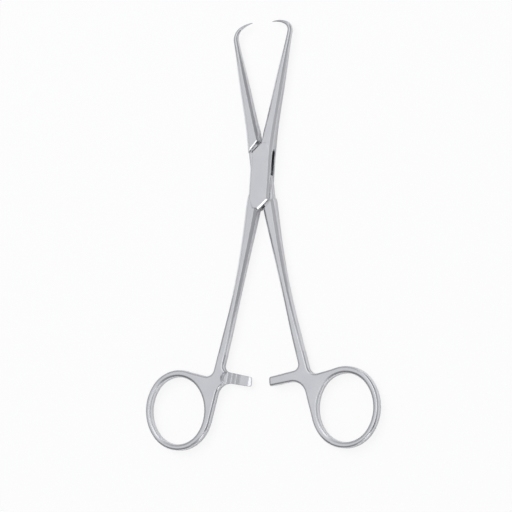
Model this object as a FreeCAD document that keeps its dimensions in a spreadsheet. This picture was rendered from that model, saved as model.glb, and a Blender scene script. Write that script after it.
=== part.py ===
import FreeCAD, Part
import math
import os
import re
import Sketcher
from FreeCAD import Placement, Rotation, Vector

# Towel forceps with a box lock, ring handles and a ratchet, 160 mm long when closed.
# Both halves are drawn in the closed position: the lock's axis is the origin, the points
# meet on +Y, the rings lie towards -Y, and z = 0 is the plane midway through the lock.
# The box half has the left ring and the right jaw, the tongue half the right ring and the
# left jaw. Each half is then turned open about the lock and lifted onto its back face.

# Driving dimensions, in millimetres and degrees.
driving_sizes = {
    "half_open_angle": 4.0,  # how far each half stands open, from points touching
    "tip_reach": 57.2,  # lock axis to the points
    "tip_clearance": 0.05,  # from each point to the mid-line when closed

    "box_width": 7.9,  # across the lock
    "box_thickness": 5.4,  # front face to back face of the lock
    "box_bevel": 0.7,  # bevel round the faces of the lock
    "wall_thickness": 1.45,  # each wall of the box beside the tongue
    "shoulder_distance": 9.0,  # lock axis to the slanting end of the box walls
    "shoulder_gap": 0.2,  # between the box ends and the other half's shoulders, closed
    "shank_shoulder_gap": 0.45,  # the same on the shank's side
    "shoulder_bevel": 0.45,  # bevel on the shoulders of the tongue half
    "slot_end_side": 9.95,  # height of the slot's round end at the side of the box
    "slot_end_middle": 12.55,  # height of the slot's round end on the mid-line
    "tongue_clearance": 0.05,  # each side of the tongue in its slot
    "tongue_edge_bevel": 0.3,  # bevel on the edges of the tongue
    "tongue_waist": 2.1,  # mid-line to the tongue's edge where it is cut back beside the pin
    "tongue_bulge": 0.45,  # how far the tongue's corners stand out past the box
    "closing_gap": 0.16,  # between the two jaw roots when closed
    "pin_radius": 1.3,  # the riveted pin
    "pin_countersink": 0.45,  # depth and flare of its riveted ends
    "pin_running_gap": 0.05,  # radial clearance in the tongue

    "jaw_splay": 7.66,  # lean of each jaw from the mid-line, closed
    "jaw_root_height": 8.0,  # where the jaw rises out of the lock
    "jaw_root_width": 5.75,
    "jaw_neck_height": 13.4,
    "jaw_neck_width": 4.85,
    "jaw_neck_thickness": 5.1,
    "jaw_bevel": 0.92,  # bevel along the jaws' edges
    "jaw_middle_width": 3.3,
    "jaw_middle_thickness": 3.75,
    "jaw_end_width": 1.95,  # where the claw starts to bend
    "point_diameter": 0.22,  # blunt end of the ground point

    "right_bend_radius": 3.1,  # right claw, its tight bend
    "right_bend_heading": 68.0,  # direction after the tight bend, from +Y
    "right_claw_radius": 8.2,  # right claw, the long curve to the point
    "right_tip_heading": 106.0,  # direction of the point, from +Y
    "left_bend_radius": 4.6,  # left claw, its tight bend
    "left_bend_heading": 60.0,
    "left_claw_radius": 11.9,  # left claw, the long curve to the point
    "left_tip_heading": 84.0,

    "shank_offset": 1.4,  # shank line from the axis, level with the lock
    "shank_splay_root": 5.07,  # lean of the shank at the lock
    "shank_splay_end": 11.24,  # lean of the shank at the handle
    "shank_length": 66.0,  # lock axis to the start of the handle, along Y
    "shank_root_width": 4.0,
    "shank_neck_width": 4.6,
    "shank_neck_thickness": 5.0,
    "shank_bevel": 1.0,  # bevel along the shanks' edges, rounded towards the handle
    "shank_slim_width": 3.05,
    "shank_slim_thickness": 3.35,

    "handle_thickness": 3.2,  # rings, web and shank end
    "handle_bar_width": 3.5,  # shank end where it runs into the ring
    "handle_rounding": 0.95,  # rounding of the rings, web and arms
    "ring_hole_width": 21.4,
    "ring_hole_length": 24.75,
    "ring_hole_beside": 16.5141,  # end of the shank to the middle of the hole, across
    "ring_hole_drop": 21.8,  # and along Y
    "ring_wall_side": 2.7,  # mean of the ring's inner and outer side walls
    "ring_wall_end": 2.48,  # mean of the ring's top and bottom walls
    "ring_end_fullness": 0.48,  # how much tighter the oval's ends are than a circle's
    "ring_lean": 4.2,  # lean of the ring's long axis, closed
    "ring_inward_shift": 0.27,  # the outline sits this much nearer the mid-line
    "ring_upward_shift": 0.2,  # and this much nearer the lock

    "arm_drop": 9.6,  # end of the shank to the middle of the arms on the mid-line, along Y
    "arm_slope": 6.8,  # fall of the arms towards the mid-line, closed
    "arm_root_depth": 4.3,  # height of the arm at the shank
    "arm_end_depth": 3.55,  # height of the arm at its end
    "arm_root_beside": 0.4141,  # end of the shank to the arm's root, across
    "arm_step_across": 8.25,  # mid-line to the middle of the round step down to the teeth
    "arm_step_radius": 2.6,  # radius of that step
    "arm_step_lower": 0.4,  # its middle lies this far below the arm's
    "left_arm_reach": 1.0,  # how far the left arm passes the mid-line, closed
    "right_arm_reach": 1.9,  # how far the right arm passes the mid-line, closed
    "arm_gap": 0.1,  # between the teeth of the two arms
    "tooth_depth": 0.65,
    "tooth_pitch": 1.8,
    "tooth_count": 3,
    "tooth_first_across": 8.85,  # mid-line to the first tooth's gap, closed
    "arm_end_rounding": 0.7,  # on the arm's corners
    "arm_lead_in": 1.2,  # length of the slope at the end of the toothed side
    "arm_lead_in_slope": 15.0,
    "web_ring_inset": 2.6,  # the web's upper edge leaves the ring this far inside its middle
    "web_fall": 2.3,  # from there down to the web's corner with the shank
    "fillet_arm_top": 2.2,  # in the corner between shank and arm
    "fillet_arm_bottom": 5.0,  # in the corner between arm and ring
    "fillet_ring_top": 3.0,  # in the corner between shank and web
}

doc = FreeCAD.newDocument("towel_forceps")
sizes = doc.addObject("Spreadsheet::Sheet", "Sizes")
for row, (alias, amount) in enumerate(driving_sizes.items(), 1):
    sizes.set(f"A{row}", alias)
    sizes.set(f"B{row}", str(amount))
    sizes.setAlias(f"B{row}", alias)
doc.recompute()


def value(expression):
    """Work out an expression of the sheet's names as a plain number."""
    result = sizes.evalExpression(expression)
    return float(getattr(result, "Value", result))


# How far fused neighbours lie inside each other's faces, so that no two faces coincide.
seam = 0.02
closing_half = value("closing_gap / 2")
# The corner, as a share of the width, and its fullness, that give a section twelve equal sides.
round_corner = (1 - math.tan(math.radians(15))) / 2
round_fullness = 0.65


def facing(part_body, role):
    """Find one of a body's own origin planes or axes."""
    return next(item for item in part_body.Origin.OriginFeatures if item.Role == role)


def body(name):
    return doc.addObject("PartDesign::Body", name)


def outline(part_body, name, corners, plane="XY_Plane"):
    """Draw a closed polygon whose corners are pairs of sheet expressions."""
    sketch = part_body.newObject("Sketcher::SketchObject", name)
    sketch.AttachmentSupport = (facing(part_body, plane), "")
    sketch.MapMode = "FlatFace"
    places = [Vector(value(across), value(up), 0) for across, up in corners]
    count = len(places)
    for i in range(count):
        sketch.addGeometry(Part.LineSegment(places[i], places[(i + 1) % count]))
    for i in range(count):
        sketch.addConstraint(Sketcher.Constraint("Coincident", i, 2, (i + 1) % count, 1))
    for i, (across, up) in enumerate(corners):
        for kind, text, place in (("DistanceX", across, places[i].x), ("DistanceY", up, places[i].y)):
            index = sketch.addConstraint(Sketcher.Constraint(kind, i, 1, place))
            sketch.setExpression(f"Constraints[{index}]", bound(text))
    return sketch


def bound(text):
    """Point the names in an expression at the cells of the sheet."""
    return re.sub(r"\b([a-z]+(?:_[a-z]+)+)\b", r"Sizes.\1", text)


def pad(part_body, sketch, thickness):
    """Pad a sketch by the same amount to both sides."""
    feature = part_body.newObject("PartDesign::Pad", sketch.Name + "_pad")
    feature.Profile = sketch
    feature.setExpression("Length", bound(thickness))
    feature.Midplane = True
    doc.recompute()
    return feature


def boolean(kind, name, base, tool):
    """Cut, fuse or intersect two objects."""
    result = doc.addObject(kind, name)
    result.Base = base
    result.Tool = tool
    doc.recompute()
    return result


def fuse(name, pieces):
    result = doc.addObject("Part::MultiFuse", name)
    result.Shapes = pieces
    result.Refine = True
    doc.recompute()
    return result


def round_edges(name, base, radius, wanted):
    """Fillet the edges of a shape for which the test holds."""
    result = doc.addObject("Part::Fillet", name)
    result.Base = base
    result.Edges = [(i + 1, radius, radius) for i, edge in enumerate(base.Shape.Edges) if wanted(edge)]
    doc.recompute()
    return result


def nearest_upright(shape, across, up):
    """The upright edge that stands nearest to a place in plan."""
    def distance(edge):
        first, last = edge.Vertexes[0].Point, edge.Vertexes[-1].Point
        leans = math.hypot(first.x - last.x, first.y - last.y) > 1e-3
        return math.inf if leans else math.hypot(first.x - across, first.y - up)
    return min(shape.Edges, key=distance)


def solid(name, shape):
    """Hold a shape that was worked out from the sheet's sizes."""
    feature = doc.addObject("Part::Feature", name)
    feature.Shape = shape
    return feature


def direction(heading):
    """A heading in degrees is counted from +Y towards -X, and the side points across it."""
    angle = math.radians(heading)
    along = Vector(-math.sin(angle), math.cos(angle), 0)
    across = Vector(math.cos(angle), math.sin(angle), 0)
    return along, across


def section(place, heading, width, thickness, corner, fullness):
    """A rectangle whose corners are bevelled at fullness 0, and swell to rounded ones at 1."""
    across = direction(heading)[1]
    upward = Vector(0, 0, 1)
    half, tall = width / 2, thickness / 2
    sag = fullness * (1 - 1 / math.sqrt(2)) * corner
    places = []
    for side, face in ((1, 1), (-1, 1), (-1, -1), (1, -1)):
        beside = place + across * (side * half) + upward * (face * (tall - corner))
        above = place + across * (side * (half - corner)) + upward * (face * tall)
        middle = (beside + above) / 2 + (across * side + upward * face).normalize() * sag
        places += [beside, middle, above] if side == face else [above, middle, beside]
    return Part.makePolygon(places + places[:1])


def bend(start, radius, heading_from, heading_to):
    """The end of an arc that turns towards -X from one heading to another."""
    first, last = math.radians(heading_from), math.radians(heading_to)
    return start + Vector(radius * (math.cos(last) - math.cos(first)),
                          radius * (math.sin(last) - math.sin(first)), 0)


def jaw(name, bend_radius, bend_heading, claw_radius, tip_heading):
    """The jaw on the +X side, closed: a straight bevelled bar that ends in a round claw."""
    splay = -value("jaw_splay")
    tip = Vector(value("tip_clearance"), value("tip_reach"), 0)
    bend_end = tip - bend(Vector(), claw_radius, bend_heading, tip_heading)
    bend_start = bend_end - bend(Vector(), bend_radius, splay, bend_heading)
    along, across = direction(splay)

    def on_bar(height):
        return bend_start - along * ((bend_start.y - height) / along.y)

    root, neck = value("jaw_root_height"), value("jaw_neck_height")
    middle = (neck + bend_start.y) / 2
    neck_width, neck_tall = value("jaw_neck_width"), value("jaw_neck_thickness")
    middle_width, middle_tall = value("jaw_middle_width"), value("jaw_middle_thickness")
    end_width, bevel = value("jaw_end_width"), value("jaw_bevel")
    bar_rings = [
        section(on_bar(root), splay, value("jaw_root_width"), value("box_thickness") - 2 * seam,
                value("box_bevel"), 0),
        section(on_bar(neck), splay, neck_width, neck_tall, bevel, 0),
        section(on_bar(neck * 0.75 + middle * 0.25), splay, neck_width * 0.6 + middle_width * 0.4,
                neck_tall * 0.6 + middle_tall * 0.4, bevel, 0),
        section(on_bar(middle), splay, middle_width, middle_tall, bevel, 0.1),
        section(on_bar(middle * 0.4 + bend_start.y * 0.6), splay, middle_width * 0.4 + end_width * 0.6,
                middle_tall * 0.4 + end_width * 0.6, bevel, 0.5),
        section(bend_start, splay, end_width, end_width, end_width * round_corner, round_fullness),
    ]
    point = value("point_diameter")
    bend_length = bend_radius * math.radians(bend_heading - splay)
    claw_length = claw_radius * math.radians(tip_heading - bend_heading)
    steps = 8
    claw_rings = [bar_rings[-1]]
    for i in range(1, steps + 1):
        gone = (bend_length + claw_length) * i / steps
        if gone <= bend_length:
            heading = splay + math.degrees(gone / bend_radius)
            place = bend(bend_start, bend_radius, splay, heading)
        else:
            heading = bend_heading + math.degrees((gone - bend_length) / claw_radius)
            place = bend(bend_end, claw_radius, bend_heading, heading)
        across_claw = end_width + (point - end_width) * (i / steps) ** 1.2
        claw_rings.append(section(place, heading, across_claw, across_claw, across_claw * round_corner,
                                  round_fullness))
    bar = Part.makeLoft(bar_rings, True, False)
    claw = Part.makeLoft(claw_rings, True, False)
    beyond = Part.makeBox(value("tip_reach"), value("tip_reach") * 0.6, value("tip_reach"),
                          Vector(closing_half - value("tip_reach"), 0, -value("tip_reach") / 2))
    return solid(name, bar.cut(beyond).fuse(claw))


def shank_line(depth):
    """The shank's middle line on the +X side, and its heading, at a depth below the lock."""
    lean, end_lean = (math.tan(math.radians(value(lean)))
                      for lean in ("shank_splay_root", "shank_splay_end"))
    length = value("shank_length")
    bow = (end_lean - lean) / (2 * length)
    place = Vector(value("shank_offset") + lean * depth + bow * depth ** 2, -depth, 0)
    return place, math.degrees(math.atan(lean + 2 * bow * depth))


def shank(name):
    """The shank on the +X side, closed: thick and bevelled at the lock, slim and round below."""
    length, rounding = value("shank_length"), value("handle_rounding")
    neck = value("jaw_neck_height")
    slim, bar = value("shank_slim_width"), value("handle_bar_width")
    slim_tall, bar_tall = value("shank_slim_thickness"), value("handle_thickness")
    neck_width, neck_tall = value("shank_neck_width"), value("shank_neck_thickness")
    bevel = value("shank_bevel")
    stations = [
        (value("jaw_root_height") * 0.9, value("shank_root_width"),
         value("box_thickness") - 2 * seam, value("box_bevel"), 0),
        (neck, neck_width, neck_tall, bevel, 0),
        (length * 0.32, neck_width * 0.62 + slim * 0.38, neck_tall * 0.55 + slim_tall * 0.45, bevel, 0),
        (length * 0.46, neck_width * 0.24 + slim * 0.76, neck_tall * 0.22 + slim_tall * 0.78, bevel, 0.1),
        (length * 0.62, slim, slim_tall, bevel, 0.4),
        (length * 0.8, slim * 0.7 + bar * 0.3, slim_tall * 0.5 + bar_tall * 0.5, bevel, 0.8),
        (length * 0.95, bar - seam, bar_tall - seam, rounding, 1),
        (length * 1.02, bar - 2 * seam, bar_tall - 2 * seam, rounding, 1),
    ]
    rings = []
    for depth, width, thickness, corner, fullness in stations:
        place, heading = shank_line(depth)
        rings.append(section(place, heading, width, thickness, corner, fullness))
    return solid(name, Part.makeLoft(rings, True, False))


def copy_turned(name, source, axis):
    """A copy turned half round about an axis: about Y it swaps the sides, and back and front."""
    copy = doc.addObject("Part::Compound", name)
    copy.Links = [source]
    copy.Placement = Placement(Vector(), Rotation(axis, 180))
    doc.recompute()
    return copy


# Handle: the ring, the end of the shank and the ratchet arm, with flush faces and soft edges.
# The ring and the arm are placed from the end of the shank.
shank_end = "(shank_offset + (tan(shank_splay_root) + tan(shank_splay_end)) / 2 * shank_length)"
ring_hole_across, ring_hole_down = f"({shank_end} + ring_hole_beside)", "(shank_length + ring_hole_drop)"
arm_root_across, arm_down = f"({shank_end} + arm_root_beside)", "(shank_length + arm_drop)"


def oval(half_width, half_length, wider, height):
    """An oval of four arcs that run smoothly into each other, drawn outwards by an amount."""
    end_radius = half_width - (half_length - half_width) * value("ring_end_fullness")
    end_centre, slack = half_length - end_radius, half_width - end_radius
    side_centre = (end_centre ** 2 - slack ** 2) / (2 * slack)
    lean = Vector(side_centre, end_centre, 0).normalize()
    joint = Vector(0, end_centre, height) + lean * (end_radius + wider)
    side, end = half_width + wider, half_length + wider
    joints = [Vector(joint.x * x, joint.y * y, height) for x, y in ((1, 1), (-1, 1), (-1, -1), (1, -1))]
    middles = [Vector(x * side, y * end, height) for x, y in ((0, 1), (-1, 0), (0, -1), (1, 0))]
    return Part.Wire([Part.Arc(joints[i], middles[i], joints[(i + 1) % 4]).toShape() for i in range(4)])


def ring_blank(name, place, lean):
    """The solid oval plate from which the ring is made."""
    rim = solid(name + "_outline", oval(value("ring_hole_width / 2 + ring_wall_side"),
                                        value("ring_hole_length / 2 + ring_wall_end"), 0, 0))
    rim.Placement = Placement(place, Rotation(Vector(0, 0, 1), lean))
    plate = doc.addObject("Part::Extrusion", name)
    plate.Base = rim
    plate.DirMode = "Custom"
    plate.Dir = Vector(0, 0, 1)
    plate.setExpression("LengthFwd", bound("handle_thickness"))
    plate.Symmetric = True
    plate.Solid = True
    doc.recompute()
    return plate


def ring_hole(name, place, lean):
    """The hole's cutter, which flares at both faces so that the finger meets no edge."""
    rounding, face = value("handle_rounding"), value("handle_thickness / 2")
    half_width, half_length = value("ring_hole_width / 2"), value("ring_hole_length / 2")
    profile = [(0, face - rounding)]
    for degrees in (45, 90):
        angle = math.radians(degrees)
        profile.append((rounding * (1 - math.cos(angle)), face - rounding * (1 - math.sin(angle))))
    profile.append((rounding, face + rounding))
    profile = [(wider, -height) for wider, height in reversed(profile)] + profile
    rims = [oval(half_width, half_length, wider, height) for wider, height in profile]
    cutter = solid(name, Part.makeLoft(rims, True, True))
    cutter.Placement = Placement(place, Rotation(Vector(0, 0, 1), lean))
    return cutter


def handle(name, reach):
    """The left handle with its arm in the back half, closed. The other is a turned copy."""
    hole_place = Vector(-value(ring_hole_across), -value(ring_hole_down), 0)
    ring_place = hole_place + Vector(value("ring_inward_shift"), value("ring_upward_shift"), 0)
    lean = value("ring_lean")
    ring = ring_blank(name + "_ring", ring_place, lean)
    hole = ring_hole(name + "_hole", hole_place, lean)

    joint, heading = shank_line(value("shank_length"))
    bar = doc.addObject("Part::Box", name + "_bar")
    bar.setExpression("Length", bound("handle_bar_width"))
    bar.setExpression("Height", bound("handle_thickness"))
    bar.setExpression("Width", bound("ring_hole_length"))
    along, across = direction(-heading)
    corner = Vector(-joint.x, joint.y, 0) + along * -value("ring_hole_length")
    corner = corner - across * value("handle_bar_width / 2") - Vector(0, 0, value("handle_thickness / 2"))
    bar.Placement = Placement(corner, Rotation(Vector(0, 0, 1), -heading))

    arm = body(name + "_arm")
    fall = "tan(arm_slope)"
    root = f"({arm_root_across} + handle_bar_width / 2)"
    arm_outline = outline(arm, name + "_arm_outline", [
        (f"-{root}", f"-{arm_down} + {root} * {fall} + arm_root_depth / 2"),
        (f"-{root}", f"-{arm_down} + {root} * {fall} - arm_root_depth / 2"),
        (reach, f"-{arm_down} - {reach} * {fall} - arm_end_depth / 2"),
        (reach, f"-{arm_down} - {reach} * {fall} + arm_end_depth / 2"),
    ])
    pad(arm, arm_outline, "handle_thickness")
    web = body(name + "_web")
    ring_top = f"(-{ring_hole_down} + ring_hole_length / 2 + ring_wall_end)"
    web_outline = outline(web, name + "_web_outline", [
        (f"-{ring_hole_across} + web_ring_inset", f"{ring_top} - 0.15"),
        (f"-{ring_hole_across} + web_ring_inset", f"{ring_top} - ring_wall_end - 1"),
        (f"-{arm_root_across} - handle_bar_width", f"{ring_top} - ring_hole_length / 3"),
        (f"-{arm_root_across} - handle_bar_width / 2", f"{ring_top} - web_fall"),
    ])
    pad(web, web_outline, "handle_thickness")
    blank = fuse(name + "_blank", [ring, bar, web, arm])

    root_place, arm_place = -value(arm_root_across), -value(arm_down)
    bar_width, ring_up = value("handle_bar_width"), value(ring_top)
    corners = [
        ("top", "fillet_arm_top", root_place, arm_place + value("arm_root_depth")),
        ("bottom", "fillet_arm_bottom", root_place, arm_place - 1),
        ("crook", "fillet_ring_top", root_place - bar_width, ring_up - value("web_fall")),
        ("end_top", "arm_end_rounding", value(reach), arm_place + value("arm_end_depth") / 2),
        ("end_bottom", "arm_end_rounding", value(reach), arm_place - value("arm_end_depth") / 2),
    ]
    smoothed = blank
    for corner_name, radius, across_place, up_place in corners:
        upright = nearest_upright(smoothed.Shape, across_place, up_place)
        smoothed = round_edges(f"{name}_{corner_name}", smoothed, value(radius), upright.isSame)
    face_height = value("handle_thickness / 2")
    joint_along = direction(-heading)[0]
    joint_place = Vector(-joint.x, joint.y, 0)

    def on_a_face(edge):
        heights = [vertex.Point.z for vertex in edge.Vertexes]
        flat = all(abs(abs(z) - face_height) < 1e-4 for z in heights) and abs(heights[0] - heights[-1]) < 1e-4
        at_joint = abs((edge.CenterOfMass - joint_place).dot(joint_along)) < 0.01
        return flat and not at_joint

    soft = round_edges(name + "_soft", smoothed, value("handle_rounding"), on_a_face)
    opened = boolean("Part::Cut", name + "_opened", soft, hole)
    return ratchet_cut(name, opened, reach)


def ratchet_cut(name, arm, reach):
    """Mill the arm's front half away: a round step, the gaps between teeth, and a lead-in."""
    slope = Rotation(Vector(0, 0, 1), -value("arm_slope"))
    middle = Vector(0, -value(arm_down), 0)
    step = doc.addObject("Part::Cylinder", name + "_step")
    step.setExpression("Radius", bound("arm_step_radius"))
    step.setExpression("Height", bound("handle_thickness"))
    step_place = Vector(-value("arm_step_across"), -value("arm_step_lower"), -value("arm_gap / 2"))
    step.Placement = Placement(middle + slope.multVec(step_place), slope)
    stepped = boolean("Part::Cut", name + "_stepped", arm, step)

    level, floor = "-arm_gap / 2", "(-arm_gap / 2 - tooth_depth)"
    above, beyond = "handle_thickness", "0.5"
    corners = [("-arm_step_across", above), ("-arm_step_across", level)]
    for i in range(int(value("tooth_count"))):
        start = f"-tooth_first_across + {i} * tooth_pitch"
        corners += [(start, level), (f"{start} + tooth_pitch * 0.8", floor),
                    (f"{start} + tooth_pitch * 0.88", level)]
    corners += [(f"{reach} - arm_lead_in", level),
                (f"{reach} + {beyond}", f"{level} - (arm_lead_in + {beyond}) * tan(arm_lead_in_slope)"),
                (f"{reach} + {beyond}", above)]
    teeth = body(name + "_teeth")
    pad(teeth, outline(teeth, name + "_teeth_outline", corners, "XZ_Plane"), "arm_root_depth * 2")
    teeth.Placement = Placement(middle, slope)
    doc.recompute()
    return boolean("Part::Cut", name, stepped, teeth)


def bevel_faces(part_body, feature, bevel):
    """Bevel all edges of the two flat faces of a plate."""
    faces = [f"Face{i + 1}" for i, face in enumerate(feature.Shape.Faces)
             if abs(face.normalAt(0, 0).z) > 0.99]
    chamfer = part_body.newObject("PartDesign::Chamfer", part_body.Name + "_bevel")
    chamfer.Base = (feature, faces)
    chamfer.setExpression("Size", bound(bevel))
    doc.recompute()
    return part_body


def both_ends(corners):
    """Repeat the corners of one end at the other, turned half round about the lock's axis."""
    return corners + [(f"-({across})", f"-({up})") for across, up in corners]


# Box: a block with slanting ends, whose walls carry the pin on both sides of the tongue.
half_width, end_height = "box_width / 2", "shoulder_distance * sqrt(2)"
block = body("lock_block")
block_pad = pad(block, outline(block, "lock_block_outline", both_ends([
    (f"-{half_width}", f"{end_height} - {half_width}"),
    ("0", end_height),
    ("box_width * 0.3", end_height),
    (half_width, "jaw_root_height + 1"),
])), "box_thickness")
bevel_faces(block, block_pad, "box_bevel")

# Slot: it runs right through the box from side to side, with a round end above and below.
slot_rise = "(slot_end_middle - slot_end_side) / (box_width / 2)"
slot = body("lock_slot")
pad(slot, outline(slot, "lock_slot_outline", both_ends([
    ("box_width", f"slot_end_middle - box_width * {slot_rise}"),
    ("-box_width", f"slot_end_middle + box_width * {slot_rise}"),
])), "box_thickness - 2 * wall_thickness")
slot_half_height = value("box_thickness / 2 - wall_thickness")
round_slot = round_edges("lock_slot_round", slot, slot_half_height - seam / 2, lambda edge: (
    abs(edge.Vertexes[0].Point.x - edge.Vertexes[-1].Point.x) > value("box_width")))

# Pin: a rivet whose spread ends fill the countersinks and are ground flush with the walls.
pin_form = body("pin_form")
pin_profile = outline(pin_form, "pin_profile", [
    ("0", "-box_thickness / 2"),
    ("pin_radius + pin_countersink", "-box_thickness / 2"),
    ("pin_radius", "pin_countersink - box_thickness / 2"),
    ("pin_radius", "box_thickness / 2 - pin_countersink"),
    ("pin_radius + pin_countersink", "box_thickness / 2"),
    ("0", "box_thickness / 2"),
], "XZ_Plane")
pin_turned = pin_form.newObject("PartDesign::Revolution", "pin_turned")
pin_turned.Profile = pin_profile
pin_turned.ReferenceAxis = (pin_profile, ["V_Axis"])
pin_turned.Angle = 360
doc.recompute()

# Tongue: a plate that fills the slot's height and joins the other half's jaw to its shank.
tongue = body("tongue")
tongue_pad = pad(tongue, outline(tongue, "tongue_outline", both_ends([
    ("-tongue_waist", "-pin_radius * 2"),
    ("-tongue_waist - 0.5", "-pin_radius * 0.8"),
    (f"-{half_width}", "0.3"),
    (f"-{half_width} - tongue_bulge", f"{end_height} - {half_width} + 0.7"),
    ("-box_width * 0.32", end_height),
    ("-closing_gap / 2 - tongue_clearance - 1.2", end_height),
    ("-closing_gap / 2 - tongue_clearance * 4", f"{end_height} - 1.6"),
])), "box_thickness - 2 * wall_thickness - 2 * tongue_clearance")
bevel_faces(tongue, tongue_pad, "tongue_edge_bevel")

bore = doc.addObject("Part::Cylinder", "tongue_bore")
bore.setExpression("Radius", bound("pin_radius + pin_running_gap"))
bore.setExpression("Height", bound("box_thickness"))
bore.setExpression("Placement.Base.z", bound("-box_thickness / 2"))

# Shoulders: where the tongue half is cut down to the tongue. The jaw's has a bevel on each
# face, and the shank's is square.
jaw_side, shank_side = "(shoulder_distance + shoulder_gap)", "(shoulder_distance + shank_shoulder_gap)"
bevel_start, outside = "(box_thickness / 2 - shoulder_bevel - 0.08)", "box_thickness"
shoulders = body("shoulder_cutter")
pad(shoulders, outline(shoulders, "shoulder_outline", [
    (f"-{jaw_side} - {outside}", f"{bevel_start} + {outside}"),
    (shank_side, f"{bevel_start} + {outside}"),
    (shank_side, f"-{bevel_start} - {outside}"),
    (f"-{jaw_side} - {outside}", f"-{bevel_start} - {outside}"),
    (f"-{jaw_side}", f"-{bevel_start}"),
    (f"-{jaw_side}", bevel_start),
], "XZ_Plane"), "box_width * 5")
shoulders.Placement = Placement(Vector(), Rotation(Vector(0, 0, 1), -45))

vertical = Vector(0, 1, 0)
right_jaw = jaw("right_jaw", value("right_bend_radius"), value("right_bend_heading"),
                value("right_claw_radius"), value("right_tip_heading"))
left_jaw_form = jaw("left_jaw_form", value("left_bend_radius"), value("left_bend_heading"),
                    value("left_claw_radius"), value("left_tip_heading"))
left_jaw = copy_turned("left_jaw", left_jaw_form, vertical)
right_shank = shank("right_shank")
left_shank = copy_turned("left_shank", right_shank, vertical)
left_handle = handle("left_handle", "left_arm_reach")
right_handle_form = handle("right_handle_form", "right_arm_reach")
right_handle = copy_turned("right_handle", right_handle_form, vertical)

box_forging = fuse("box_forging", [block, right_jaw, left_shank, left_handle])
slotted = boolean("Part::Cut", "box_slotted", box_forging, round_slot)
box_half = boolean("Part::Cut", "box_half", slotted, pin_form)

limbs = fuse("tongue_limbs", [left_jaw, right_shank])
shouldered = boolean("Part::Cut", "tongue_shouldered", limbs, shoulders)
tongue_forging = fuse("tongue_forging", [shouldered, tongue, right_handle])
tongue_half = boolean("Part::Cut", "tongue_half", tongue_forging, bore)

pivot_pin = doc.addObject("Part::Compound", "pivot_pin")
pivot_pin.Links = [pin_form]

nodes = {"box_half": box_half, "tongue_half": tongue_half, "pivot_pin": pivot_pin}
turn = {"box_half": -1, "tongue_half": 1, "pivot_pin": 0}
for name, node in nodes.items():
    node.Label = name
    node.Placement = Placement(Vector(0, 0, value("box_thickness / 2")),
                               Rotation(Vector(0, 0, 1), turn[name] * value("half_open_angle")))
doc.recompute()

for item in doc.Objects:
    if {"Invalid", "Error"} & set(item.State):
        raise RuntimeError(f"{item.Name} failed: {item.State}")
for name, node in nodes.items():
    if node.Shape.isNull() or not node.Shape.isValid() or len(node.Shape.Solids) != 1:
        raise RuntimeError(f"{name} isn't one valid solid")

os.makedirs("parts", exist_ok=True)
for name, node in nodes.items():
    node.Shape.exportStep(f"parts/{name}.step")
    box = node.Shape.BoundBox
    print(f"{name}: {node.Shape.Volume:.0f} mm3, {len(node.Shape.Faces)} faces, "
          f"{box.XLength:.1f} x {box.YLength:.1f} x {box.ZLength:.1f} mm")
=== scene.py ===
import math

import bmesh
import bpy
from mathutils import Matrix, Vector

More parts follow.
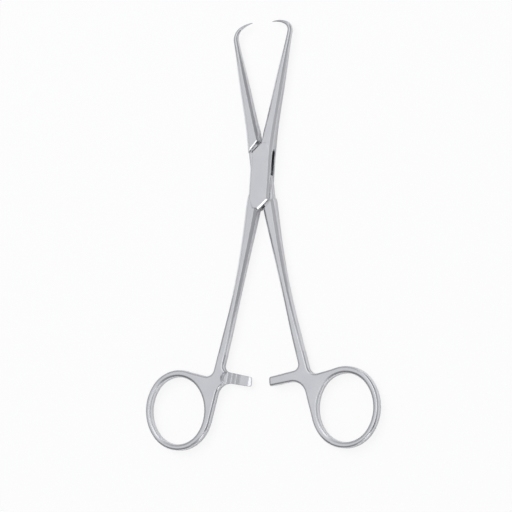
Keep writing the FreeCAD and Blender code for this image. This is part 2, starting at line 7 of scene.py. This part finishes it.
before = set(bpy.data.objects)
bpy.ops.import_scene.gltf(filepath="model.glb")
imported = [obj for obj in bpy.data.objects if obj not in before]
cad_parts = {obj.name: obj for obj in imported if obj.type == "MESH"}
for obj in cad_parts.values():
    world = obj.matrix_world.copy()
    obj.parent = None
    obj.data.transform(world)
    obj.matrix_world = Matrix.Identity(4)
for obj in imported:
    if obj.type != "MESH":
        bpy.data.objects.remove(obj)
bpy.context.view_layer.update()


# Box half: the forging with the left ring, the right jaw and the closed box of the lock. It
# is stainless steel, polished along its length to a slightly cool satin, whose gloss varies
# with fine scratches and faint cloudy patches.
def steel(name, tone, roughness):
    material = bpy.data.materials.new(name)
    material.use_nodes = True
    nodes, links = material.node_tree.nodes, material.node_tree.links
    metal = nodes["Principled BSDF"]
    metal.inputs["Metallic"].default_value = 1.0
    place = nodes.new("ShaderNodeTexCoord")

    # Scratches are a tenth of a millimetre wide and over a millimetre long.
    stretch = nodes.new("ShaderNodeMapping")
    stretch.inputs["Scale"].default_value = (9000, 700, 9000)
    links.new(place.outputs["Object"], stretch.inputs["Vector"])
    scratches = nodes.new("ShaderNodeTexNoise")
    scratches.inputs["Scale"].default_value = 1.0
    scratches.inputs["Detail"].default_value = 4.0
    links.new(stretch.outputs["Vector"], scratches.inputs["Vector"])

    clouds = nodes.new("ShaderNodeTexNoise")
    clouds.inputs["Scale"].default_value = 160.0
    clouds.inputs["Detail"].default_value = 3.0
    links.new(place.outputs["Object"], clouds.inputs["Vector"])

    red, green, blue = tone
    hue = nodes.new("ShaderNodeValToRGB")
    hue.color_ramp.elements[0].position = 0.3
    hue.color_ramp.elements[0].color = (red * 0.95, green * 0.95, blue * 0.96, 1)
    hue.color_ramp.elements[1].position = 0.7
    hue.color_ramp.elements[1].color = (red, green, blue, 1)
    links.new(clouds.outputs["Fac"], hue.inputs["Fac"])
    links.new(hue.outputs["Color"], metal.inputs["Base Color"])

    gloss = nodes.new("ShaderNodeMapRange")
    gloss.inputs["From Min"].default_value = 0.3
    gloss.inputs["From Max"].default_value = 0.7
    gloss.inputs["To Min"].default_value = roughness - 0.05
    gloss.inputs["To Max"].default_value = roughness + 0.05
    links.new(scratches.outputs["Fac"], gloss.inputs["Value"])
    links.new(gloss.outputs["Result"], metal.inputs["Roughness"])

    relief = nodes.new("ShaderNodeBump")
    relief.inputs["Strength"].default_value = 0.06
    relief.inputs["Distance"].default_value = 0.0001
    links.new(scratches.outputs["Fac"], relief.inputs["Height"])

    # Polishing takes the sharpness off each edge, which then catches the light as a fine line.
    # The rivet's rim is ground away with the faces, so no edge is worn near it.
    edge_radius, plain_round_rivet = 0.00032, 0.0025
    worn = nodes.new("ShaderNodeBevel")
    worn.samples = 8
    worn.inputs["Radius"].default_value = edge_radius
    plain = nodes.new("ShaderNodeNewGeometry")
    from_rivet = nodes.new("ShaderNodeVectorMath")
    from_rivet.operation = "MULTIPLY"
    from_rivet.inputs[1].default_value = (1, 1, 0)
    links.new(place.outputs["Object"], from_rivet.inputs[0])
    distance = nodes.new("ShaderNodeVectorMath")
    distance.operation = "LENGTH"
    links.new(from_rivet.outputs["Vector"], distance.inputs[0])
    clear_of_rivet = nodes.new("ShaderNodeMath")
    clear_of_rivet.operation = "GREATER_THAN"
    clear_of_rivet.inputs[1].default_value = plain_round_rivet
    links.new(distance.outputs["Value"], clear_of_rivet.inputs[0])
    edges = nodes.new("ShaderNodeMix")
    edges.data_type = "VECTOR"
    links.new(clear_of_rivet.outputs["Value"], edges.inputs["Factor"])
    links.new(plain.outputs["Normal"], edges.inputs["A"])
    links.new(worn.outputs["Normal"], edges.inputs["B"])
    links.new(edges.outputs["Result"], relief.inputs["Normal"])
    links.new(relief.outputs["Normal"], metal.inputs["Normal"])
    return material


def polish(node, material):
    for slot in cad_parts[node].material_slots:
        slot.material = material


satin = steel("satin_steel", (0.77, 0.77, 0.785), 0.21)
polish("box_half", satin)


# Tongue half: the forging with the right ring and the left jaw, whose flat tongue passes
# through the box. Both halves are forged from one steel and polished together.
polish("tongue_half", satin)


# Pivot pin: the steel rivet through the box and the tongue. Its heads are closed into
# countersinks and ground flush with the lock's faces, so they have the same grain.
polish("pivot_pin", steel("pin_satin_steel", (0.765, 0.765, 0.78), 0.22))


# Floor: a plain white table top, which carries the soft shadow of the forceps and is mirrored
# by the steel. Its white fades into the white of the page.
reach = 3.0
mesh = bpy.data.meshes.new("floor")
sheet = bmesh.new()
bmesh.ops.create_grid(sheet, x_segments=1, y_segments=1, size=reach)
sheet.to_mesh(mesh)
sheet.free()
floor = bpy.data.objects.new("floor", mesh)
bpy.context.scene.collection.objects.link(floor)

paper = bpy.data.materials.new("paper")
paper.use_nodes = True
nodes, links = paper.node_tree.nodes, paper.node_tree.links
matt = nodes["Principled BSDF"]
matt.inputs["Roughness"].default_value = 0.9
matt.inputs["Specular IOR Level"].default_value = 0.1
ray = nodes.new("ShaderNodeLightPath")
seen = ray.outputs["Is Camera Ray"]
for kind in ("Is Glossy Ray", "Is Transmission Ray"):
    either = nodes.new("ShaderNodeMath")
    either.operation = "MAXIMUM"
    links.new(seen, either.inputs[0])
    links.new(ray.outputs[kind], either.inputs[1])
    seen = either.outputs["Value"]
# It looks white, but throws back less light, so that the undersides stay darker.
tone = nodes.new("ShaderNodeMix")
tone.data_type = "RGBA"
tone.inputs["A"].default_value = (0.55, 0.55, 0.56, 1)
tone.inputs["B"].default_value = (0.97, 0.97, 0.97, 1)
links.new(seen, tone.inputs["Factor"])
links.new(tone.outputs["Result"], matt.inputs["Base Color"])
# To the camera, most of its white is the page's own, so that the shadow stays faint there.
page = nodes.new("ShaderNodeEmission")
share = nodes.new("ShaderNodeMath")
share.operation = "MULTIPLY"
share.inputs[1].default_value = 0.86
links.new(ray.outputs["Is Camera Ray"], share.inputs[0])
printed = nodes.new("ShaderNodeMixShader")
links.new(share.outputs["Value"], printed.inputs["Fac"])
links.new(matt.outputs["BSDF"], printed.inputs[1])
links.new(page.outputs["Emission"], printed.inputs[2])
links.new(printed.outputs["Shader"], nodes["Material Output"].inputs["Surface"])
mesh.materials.append(paper)


# Light: a white tent whose walls run along the forceps. It has a bright strip overhead, is
# pale above the left and dark above the right, and dims towards the rings and at its foot.
world = bpy.data.worlds.new("studio")
bpy.context.scene.world = world
world.use_nodes = True
nodes, links = world.node_tree.nodes, world.node_tree.links
backdrop = nodes["Background"]
direction = nodes.new("ShaderNodeTexCoord")
parts = nodes.new("ShaderNodeSeparateXYZ")
links.new(direction.outputs["Generated"], parts.inputs["Vector"])


def wall(axis, stops):
    """A ramp of slightly cool grey levels along one axis of the tent, from -1 to 1."""
    along = nodes.new("ShaderNodeMapRange")
    along.inputs["From Min"].default_value = -1.0
    links.new(parts.outputs[axis], along.inputs["Value"])
    ramp = nodes.new("ShaderNodeValToRGB")
    ramp.color_ramp.interpolation = "EASE"
    while len(ramp.color_ramp.elements) < len(stops):
        ramp.color_ramp.elements.new(0.5)
    for element, (place, level) in zip(ramp.color_ramp.elements, stops):
        element.position = (place + 1) / 2
        element.color = (level, level * 1.005, level * 1.02, 1)
    links.new(along.outputs["Result"], ramp.inputs["Fac"])
    return ramp.outputs["Color"]


def blend(kind, factor, first, second):
    """Both colours mixed by the factor, or in full where it is None."""
    mix = nodes.new("ShaderNodeMix")
    mix.data_type = "RGBA"
    mix.blend_type = kind
    mix.inputs["Factor"].default_value = 1.0
    if factor:
        links.new(factor, mix.inputs["Factor"])
    links.new(first, mix.inputs["A"])
    links.new(second, mix.inputs["B"])
    return mix.outputs["Result"]


left_to_right = wall("X", [(-1.0, 0.4), (-0.62, 0.6), (-0.42, 0.76), (-0.12, 0.84), (0.03, 0.92),
                           (0.13, 2.0), (0.24, 1.0), (0.36, 0.5), (0.75, 0.42), (0.95, 0.55),
                           (1.0, 0.6)])
rings_to_points = wall("Y", [(-0.9, 0.35), (-0.5, 0.35), (-0.2, 0.9), (0.0, 1.0), (0.3, 1.0),
                             (0.7, 0.65), (1.0, 0.6)])
above = blend("MULTIPLY", None, left_to_right, rings_to_points)
foot = wall("X", [(-1.0, 0.28), (-0.6, 0.18), (0.0, 0.12), (0.42, 0.22), (0.7, 0.6), (1.0, 0.6)])
height = nodes.new("ShaderNodeMapRange")
height.interpolation_type = "SMOOTHSTEP"
height.inputs["From Min"].default_value = -0.12
height.inputs["From Max"].default_value = 0.12
links.new(parts.outputs["Z"], height.inputs["Value"])
links.new(blend("MIX", height.outputs["Result"], foot, above), backdrop.inputs["Color"])

# A large soft box at the upper left lights the floor. The steel doesn't mirror it.
soft_box = bpy.data.lights.new("soft_box", "AREA")
soft_box.shape = "RECTANGLE"
soft_box.size, soft_box.size_y = 0.9, 1.4
soft_box.energy = 12.0
lamp = bpy.data.objects.new("soft_box", soft_box)
lamp.location = (-0.5, 0.7, 1.6)
lamp.rotation_euler = lamp.location.to_track_quat("Z", "Y").to_euler()
lamp.visible_glossy = False
bpy.context.scene.collection.objects.link(lamp)

# A small white card low at the front right whitens the bevels on the ends of the lock.
card = bpy.data.lights.new("card", "AREA")
card.size = 0.55
card.energy = 1.8
front = bpy.data.objects.new("card", card)
front.location = (0.75, -1.17, 0.555)
front.rotation_euler = front.location.to_track_quat("Z", "Y").to_euler()
bpy.context.scene.collection.objects.link(front)


# Camera: 1.2 m away, 24 degrees to the right of straight above and a little below the
# middle, with the points at the top of the picture.
distance, view_width = 1.2, 0.1881
to_the_right, below_middle, roll = math.radians(24.0), math.radians(7.5), math.radians(-0.13)
picture_size = 512
pivot_column, pivot_row = 262.2, 176.0
pivot = Vector((0, 0, 0.0027))
away = Vector((math.tan(to_the_right), -math.tan(below_middle), 1)).normalized()
level_up = (Vector((0, 1, 0)) - away * away.y).normalized()
level_right = level_up.cross(away)
up = level_up * math.cos(roll) + level_right * math.sin(roll)
right = level_right * math.cos(roll) - level_up * math.sin(roll)
pixel = view_width / picture_size
shift = right * (picture_size / 2 - pivot_column) + up * (pivot_row - picture_size / 2)
eye = pivot + away * distance
facing = (eye - pivot - shift * pixel).normalized()
right = up.cross(facing).normalized()
up = facing.cross(right)
lens = bpy.data.cameras.new("camera")
lens.sensor_width = 36
lens.lens = lens.sensor_width * distance / view_width
lens.clip_end = 20
camera = bpy.data.objects.new("camera", lens)
camera.matrix_world = Matrix.Translation(eye) @ Matrix((right, up, facing)).transposed().to_4x4()
bpy.context.scene.collection.objects.link(camera)
bpy.context.scene.camera = camera

bpy.context.scene.view_settings.view_transform = "Standard"
